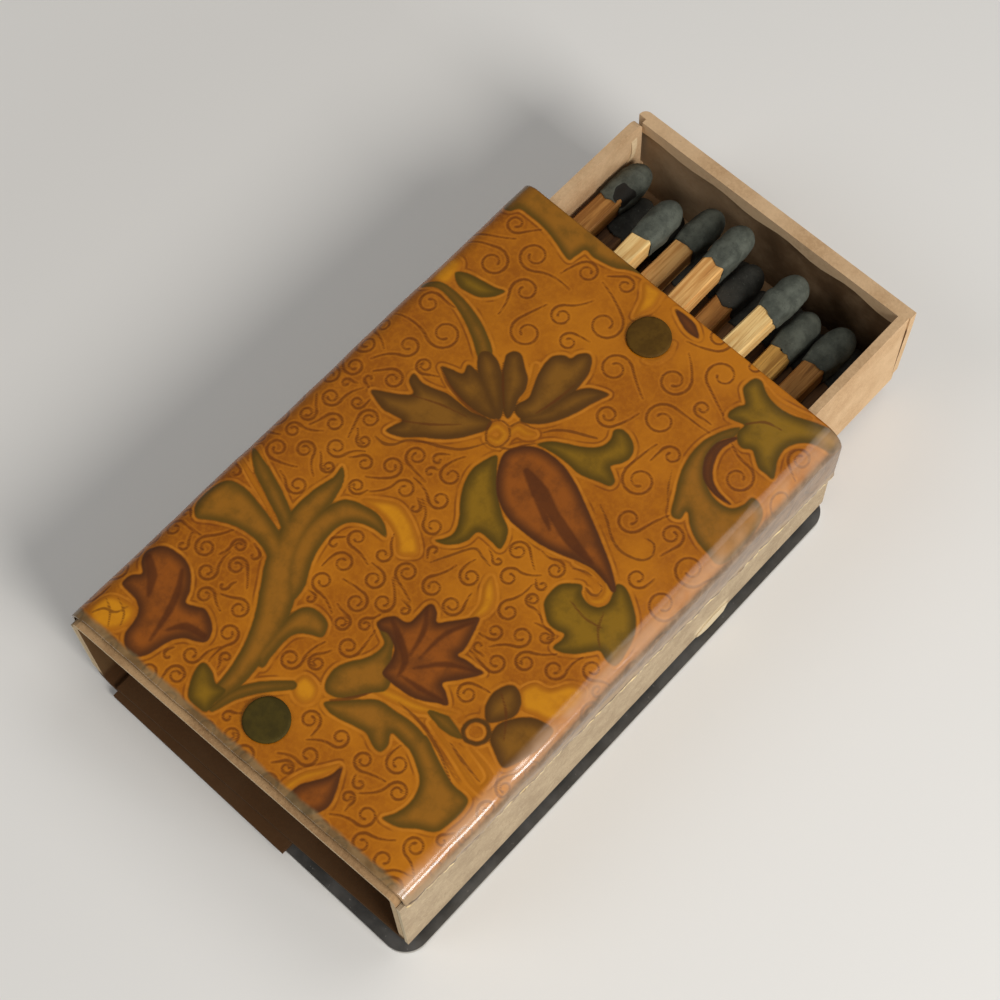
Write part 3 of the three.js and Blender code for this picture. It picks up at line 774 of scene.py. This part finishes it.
def stud_material(name, main, other):
    g = Graph(name)
    spots = g.step(g.noise(0.9, 4, 0.6), 0.35, 0.65)
    fine = g.noise(0.12, 3, 0.6)
    g.set(Base_Color=g.mix(spots, main, other), Normal=g.bump(fine, 0.25, 0.03),
          Roughness=g.step(fine, 0.3, 0.7, 0.6, 0.75), Specular_IOR_Level=0.12)
    return g.material


def disc(name, node, rings, finish):
    low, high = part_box(node)
    centre = ((low + high) / 2) / MM
    bottom = low.z / MM
    sides = 72
    points = []
    for radius, rise in rings:
        for k in range(sides):
            angle = 2 * math.pi * k / sides
            reach = radius * (1 + 0.006 * math.sin(3 * angle + radius))
            x = centre.x + reach * math.cos(angle)
            y = centre.y + reach * math.sin(angle)
            points.append((x, y, bottom + rise))
    faces = []
    for ring in range(len(rings) - 1):
        for k in range(sides):
            k2 = (k + 1) % sides
            above = (ring + 1) * sides
            faces.append((ring * sides + k, ring * sides + k2, above + k2, above + k))
    faces.append(tuple(reversed(range(sides))))
    faces.append(tuple((len(rings) - 1) * sides + k for k in range(sides)))
    made = make_object(name, mesh_of(name, points, faces), "box_sleeve")
    made.data.materials.append(finish)
    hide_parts(node)


STUD_RINGS = [(1.93, 0.0), (1.95, 0.08), (1.94, 0.16), (1.9, 0.22), (1.82, 0.26), (1.7, 0.278),
              (1.4, 0.285), (0.8, 0.285)]
STUD_BROWN = stud_material("stud_brown", rgb(88, 62, 16), rgb(76, 52, 12))
STUD_GREEN = stud_material("stud_green", rgb(70, 58, 18), rgb(60, 50, 16))
disc("rear_disc", "rear_stud", STUD_RINGS, STUD_BROWN)
disc("front_disc", "front_stud", STUD_RINGS, STUD_GREEN)


# The base plate, the sleeve and its striking strips keep their CAD shapes, with softened edges

def soften(name, width, segments=2):
    """Rounds the sharp edges of a CAD piece by a width in millimetres."""
    bevel = nodes[name].modifiers.new("Softened edges", "BEVEL")
    bevel.width = width * MM
    bevel.segments = segments
    bevel.limit_method = "ANGLE"
    bevel.angle_limit = math.radians(40)


def dress(name, material):
    thing = nodes[name]
    thing.data.materials.clear()
    thing.data.materials.append(material)


def plate_material():
    g = Graph("plate")
    mottle = g.step(g.noise(3.0, 4, 0.6), 0.35, 0.68)
    colour = g.mix(mottle, rgb(58, 57, 55), rgb(80, 78, 75))
    # painted highlight: the plate's sides and rounded edges are painted pale for the light they catch; its
    # top keeps the dark mottle
    up = g.step(g.facing("Z"), 0.35, 0.8)
    colour = g.mix(up, rgb(150, 146, 138), colour)
    dust = g.step(g.noise(0.22, 2, 0.5), 0.69, 0.76)
    colour = g.mix(g.times(dust, 0.5), colour, rgb(150, 146, 138))
    g.set(Base_Color=colour, Normal=g.bump(g.noise(0.3, 3), 0.2, 0.03),
          Roughness=g.step(mottle, 0, 1, 0.3, 0.45))
    return g.material


soften("base_plate", 0.18)
dress("base_plate", plate_material())
# the sleeve's card, with painted shade inside it and on its bottom plies
dress("card_sleeve", card_material("sleeve_card", rgb(168, 136, 98), rgb(140, 108, 74),
                                   rgb(206, 182, 146), 0.5, sleeve_painted_shade))
soften("card_sleeve", 0.08, 1)


def striker_material():
    """A gritty buff strip, rubbed pale, with short flecks and dark specks, and a paler torn lobe."""
    g = Graph("striking_strip")
    blotch = g.step(g.noise(2.6, 5, 0.6), 0.34, 0.66)
    colour = g.mix(blotch, rgb(158, 138, 112), rgb(174, 154, 126))
    fleck = g.step(g.noise(0.24, 4, 0.65, (1, 0.6, 1)), 0.5, 0.66)
    colour = g.mix(g.times(fleck, 0.35), colour, rgb(206, 188, 156))
    speck = g.step(g.noise(0.17, 3, 0.6), 0.6, 0.7)
    colour = g.mix(g.times(speck, 0.6), colour, rgb(112, 88, 58))
    lobe = g.times(g.step(g.axis("Y"), 8.8, 9.6), g.step(g.axis("Y"), 13.0, 13.8, 1.0, 0.0))
    lobe = g.times(lobe, g.step(g.axis("Z"), 2.5, 3.4, 0.8, 0.0))
    colour = g.mix(lobe, colour, rgb(214, 196, 162))
    cut = g.step(g.math("ABSOLUTE", g.facing("Y")), 0.75, 0.95)
    colour = g.mix(g.times(cut, 0.8), colour, rgb(222, 204, 170))
    height = g.plus(g.noise(0.14, 4, 0.75), g.times(fleck, 0.4))
    g.set(Base_Color=colour, Normal=g.bump(height, 0.6, 0.08), Roughness=0.9, Specular_IOR_Level=0.15)
    return g.material


for strip in ("striker_left", "striker_right"):
    soften(strip, 0.1)
    dress(strip, striker_material())


# The tray

soften("tray", 0.12)
# the tray's card, with painted shade inside its end wall and on its floor
dress("tray", card_material("tray_card", rgb(200, 168, 130), rgb(178, 144, 106),
                            rgb(210, 180, 142), 0.3, tray_painted_shade))


def peeled_ply():
    """The inner ply that has come away from the torn end of the tray's left wall, and hangs inwards."""
    low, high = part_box("tray")
    x = low.x / MM + 0.78
    y = high.y / MM - 2.3
    top = high.z / MM
    spine = spline([(x, y, top - 0.15), (x + 0.16, y + 0.02, top - 1.4), (x + 0.34, y - 0.1, top - 3.0),
                    (x + 0.3, y - 0.45, top - 4.2), (x + 0.1, y - 0.95, top - 4.75)], 6)
    points = []
    for i, middle in enumerate(spine):
        share = i / (len(spine) - 1)
        half = 0.42 - 0.16 * share + 0.05 * noise(share * 6, 0.0, 1.0, 31)
        for a, b in ((-1, -1), (1, -1), (1, 1), (-1, 1)):
            points.append(middle + np.array([0.09 * a, half * b, 0.02 * a]))
    faces = [(i * 4 + k, i * 4 + (k + 1) % 4, i * 4 + 4 + (k + 1) % 4, i * 4 + 4 + k)
             for i in range(len(spine) - 1) for k in range(4)]
    faces.append((3, 2, 1, 0))
    faces.append(tuple(len(points) - 4 + k for k in range(4)))
    made = make_object("peeled_ply", mesh_of("peeled_ply", points, faces, smooth=False), "box_tray")
    pale_card = card_material("ply_card", rgb(214, 190, 152), rgb(190, 160, 120), rgb(222, 200, 164), 0.2)
    made.data.materials.append(pale_card)


peeled_ply()


# The matches

def wood_material(name, pale, dark, streak):
    g = Graph(name)
    long_grain = g.noise(0.4, 5, 0.6, (1, 0.06, 1), 0.4)
    colour = g.mix(g.step(long_grain, 0.34, 0.66), dark, pale)
    fine = g.step(g.noise(0.13, 3, 0.6, (1, 0.03, 1)), 0.56, 0.68)
    colour = g.mix(g.times(fine, 0.55), colour, streak)
    blotch = g.step(g.noise(3.0, 2), 0.45, 0.7)
    colour = g.mix(g.times(blotch, 0.3), colour, dark)
    g.set(Base_Color=colour, Normal=g.bump(long_grain, 0.5, 0.08), Roughness=0.7, Specular_IOR_Level=0.3)
    return g.material


WOODS = {
    "pale": wood_material("wood_pale", rgb(232, 198, 134), rgb(206, 160, 94), rgb(176, 126, 64)),
    "tan": wood_material("wood_tan", rgb(222, 172, 104), rgb(190, 132, 68), rgb(150, 96, 44)),
    "brown": wood_material("wood_brown", rgb(176, 124, 62), rgb(136, 88, 36), rgb(98, 60, 24)),
    "brass": wood_material("wood_brass", rgb(196, 150, 74), rgb(142, 100, 40), rgb(104, 68, 24)),
    # painted shade: the splints of the lower matches, deep in the tray, are a darker copy of the wood
    "low": wood_material("wood_painted_shade", rgb(112, 76, 40), rgb(80, 50, 24), rgb(60, 38, 18)),
}
WOOD_OF = {"17": "brown", "18": "tan", "19": "brown", "20": "brass", "21": "brown", "22": "pale",
           "23": "tan", "24": "pale"}


def head_material(name, dark, pale):
    """Rough matt dip, with paler grains and dark pits, and a charred bite where a head has one."""
    g = Graph(name)
    cloud = g.step(g.noise(1.2, 4, 0.6), 0.34, 0.68)
    colour = g.mix(cloud, dark, pale)
    rub = g.step(g.noise(0.28, 4, 0.7), 0.58, 0.72)
    colour = g.mix(g.times(rub, 0.3), colour, rgb(116, 120, 108))
    pit = g.step(g.noise(0.2, 2, 0.6), 0.3, 0.4, 1.0, 0.0)
    colour = g.mix(g.times(pit, 0.4), colour, rgb(38, 40, 36))
    colour = g.mix(g.step(g.field("bite"), 0.35, 0.6), colour, rgb(30, 27, 22))
    colour = g.mix(g.step(g.field("fleck"), 0.4, 0.7), colour, rgb(170, 162, 142))
    g.set(Base_Color=colour, Normal=g.bump(g.noise(0.2, 5, 0.65), 0.5, 0.08), Roughness=0.8,
          Specular_IOR_Level=0.3)
    return g.material


DIP = head_material("match_dip", rgb(64, 67, 59), rgb(86, 89, 79))
# painted shade: the heads that lie low or in the tray's shade get a darker copy of the dip
SHADED_DIP = head_material("match_dip_painted_shade", rgb(40, 39, 34), rgb(56, 55, 49))
BITTEN = "17"


UPPER_HEADS = ("17", "18", "20", "21", "22", "23", "24")


def match_axes(label):
    """The head's root, the way it points and how far round a match lies, from its CAD nodes."""
    stick = np.array([v.co for v in nodes["match_stick_" + label].data.vertices]) / MM
    head = np.array([v.co for v in nodes["match_head_" + label].data.vertices]) / MM
    centre = stick.mean(0)
    ahead = head.mean(0) - centre
    ahead[2] = 0
    ahead = ahead / np.linalg.norm(ahead)
    far = (stick - centre) @ ahead
    near_end = centre + ahead * far.min()
    root = centre + ahead * far.max()
    tip = ((head - root) @ ahead).max()
    return near_end, root, ahead, tip


def build_head(label):
    """A dipped head: square with soft corners where it wraps the splint, round and blunt at its tip."""
    sides = 48
    rings = 40
    _, root, ahead, length = match_axes(label)
    right = np.array([ahead[1], -ahead[0], 0.0])
    up = np.array([0.0, 0.0, 1.0])
    seed = int(label)
    rng = np.random.default_rng(seed)
    lean = rng.uniform(-0.12, 0.12, 2)
    swell = rng.uniform(1.0, 1.07)
    points = []
    skirt = 0.55
    for ring in range(rings + 1):
        t = ring / rings
        along = -skirt + (length + skirt) * (1 - (1 - t) ** 1.25)
        share = (along + skirt) / (length + skirt)
        belly = 1.12 + 0.3 * smooth_step(share, 0.0, 0.5)
        cap = math.sqrt(max(0.0, 1 - max(0.0, (share - 0.52) / 0.48) ** 2.7))
        square = 1 - smooth_step(share, 0.05, 0.5)
        for k in range(sides):
            angle = 2 * math.pi * (k + 0.5) / sides
            c, s = math.cos(angle), math.sin(angle)
            power = 2 + 5 * square
            boxy = (abs(c) ** power + abs(s) ** power) ** (-1 / power)
            reach = belly * swell * boxy * cap
            lump = 1 + 0.05 * noise(angle * 1.4 + seed, along, 1.1, seed) * min(1, 6 * (1 - share))
            lump = lump + 0.02 * noise(angle * 3.0, along, 0.35, seed + 50) * min(1, 6 * (1 - share))
            edge = 0.0
            if ring < 4:
                edge = 0.34 * noise(angle * 1.3, 0.0, 0.8, seed + 90)
                edge = edge + 0.12 * noise(angle * 3, 0, 0.5, seed + 7)
                edge = edge * (1 - ring / 4)
            shift = lean * share * 1.2
            across = reach * lump * c + shift[0]
            rise = reach * lump * s + shift[1] * 0.3
            points.append(root + ahead * (along + edge) + right * across + up * rise)
    start = len(points)
    points.append(root + ahead * (length - 0.02) + right * lean[0] * 1.2)
    points = np.array(points)
    bite = np.zeros(len(points))
    fleck = np.zeros(len(points))
    if label == BITTEN:
        place = root + ahead * 0.5 + right * 0.85 + up * 0.95
        away = np.linalg.norm(points - place, axis=1)
        away = away + 0.22 * noise((points - root) @ right, (points - root) @ ahead, 0.8, 77)
        bite = 1 - smooth_step(away, 0.9, 1.35)
        outer_side = (points - place) @ (right - 0.3 * ahead) > 0.75
        fleck = np.exp(-((away - 1.3) / 0.13) ** 2) * outer_side
        points = points - (right + up) * (0.14 * bite)[:, None]
    faces = []
    for ring in range(rings):
        for k in range(sides):
            k2 = (k + 1) % sides
            above = (ring + 1) * sides
            faces.append((ring * sides + k, above + k, above + k2, ring * sides + k2))
    last = rings * sides
    faces += [(last + k, start, last + (k + 1) % sides) for k in range(sides)]
    faces.append(tuple(range(sides)))
    mesh = mesh_of("match_dip_" + label, points, faces)
    keep_field(mesh, "bite", bite)
    keep_field(mesh, "fleck", fleck)
    return mesh


def build_splint(label):
    """A split splint: nearly square, its faces a little uneven along their length."""
    stretches = 24
    near_end, root, ahead, _ = match_axes(label)
    low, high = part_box("match_stick_" + label)
    half = (high.z - low.z) / MM / 2
    right = np.array([ahead[1], -ahead[0], 0.0])
    up = np.array([0.0, 0.0, 1.0])
    seed = int(label)
    soft = 0.16
    corner = [(1, 1 - soft), (1 - soft, 1), (soft - 1, 1), (-1, 1 - soft), (-1, soft - 1), (soft - 1, -1),
              (1 - soft, -1), (1, soft - 1)]
    points = []
    for i in range(stretches + 1):
        middle = near_end + (root - near_end) * i / stretches
        for k, (a, b) in enumerate(corner):
            wander = 1 - 0.03 * (1 + noise(i * 0.8, k * 3.1, 1.5, seed))
            points.append(middle + right * a * half * wander + up * b * half * wander)
    count = len(corner)
    faces = []
    for i in range(stretches):
        for k in range(count):
            k2 = (k + 1) % count
            faces.append((i * count + k, i * count + k2, (i + 1) * count + k2, (i + 1) * count + k))
    faces.append(tuple(reversed(range(count))))
    faces.append(tuple(stretches * count + k for k in range(count)))
    return mesh_of("splint_" + label, points, faces, smooth=False)


for number in range(1, 25):
    label = f"{number:02d}"
    if "match_stick_" + label not in nodes:
        continue
    splint = make_object("splint_" + label, build_splint(label), "box_tray")
    splint.data.materials.append(WOODS[WOOD_OF.get(label, "low")])
    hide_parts("match_stick_" + label)
    head = make_object("match_dip_" + label, build_head(label), "box_tray")
    head.data.materials.append(DIP if label in UPPER_HEADS else SHADED_DIP)
    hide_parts("match_head_" + label)


# The floor, the light and the camera

def floor():
    mesh = bpy.data.meshes.new("floor")
    r = 1.2
    mesh.from_pydata([(-r, -r, 0), (r, -r, 0), (r, r, 0), (-r, r, 0)], [], [(0, 1, 2, 3)])
    thing = bpy.data.objects.new("floor", mesh)
    bpy.context.scene.collection.objects.link(thing)
    thing.location.z = -0.00002
    g = Graph("floor")
    g.set(Base_Color=rgb(226, 224, 220), Roughness=0.8)
    thing.data.materials.append(g.material)


def lamp(name, place, size, power, warmth=(1, 1, 1)):
    data = bpy.data.lights.new(name, "AREA")
    data.shape = "DISK"
    data.size = size
    data.energy = power
    data.color = warmth
    thing = bpy.data.objects.new(name, data)
    bpy.context.scene.collection.objects.link(thing)
    thing.location = place
    aim = Vector((0, 0, 0.01)) - Vector(place)
    thing.rotation_mode = "QUATERNION"
    thing.rotation_quaternion = aim.to_track_quat("-Z", "Y")


floor()
lamp("key", (0.42, -0.05, 0.34), 0.22, 2.0, (1.0, 0.97, 0.93))
lamp("fill", (-0.3, -0.45, 0.5), 0.4, 0.9)
lamp("top", (0.1, 0.35, 0.7), 0.4, 0.9)
lamp("edge", (0.253, 0.02, 0.08), 0.052, 0.2, (0.9, 0.95, 1.0))

world = bpy.data.worlds.new("studio")
world.use_nodes = True
world.node_tree.nodes["Background"].inputs[0].default_value = (1, 1, 1, 1)
world.node_tree.nodes["Background"].inputs[1].default_value = 0.18
bpy.context.scene.world = world

camera_data = bpy.data.cameras.new("camera")
camera_data.sensor_width = 36
camera_data.lens = 36 * FOCAL / 1000
camera_data.clip_start = 0.01
camera_data.clip_end = 10
camera = bpy.data.objects.new("camera", camera_data)
bpy.context.scene.collection.objects.link(camera)
turn = Matrix(ROTATION.T.tolist()).to_4x4()
camera.matrix_world = Matrix.Translation(Vector(CAMERA_AT * MM)) @ turn
bpy.context.scene.camera = camera
bpy.context.scene.view_settings.view_transform = "Standard"
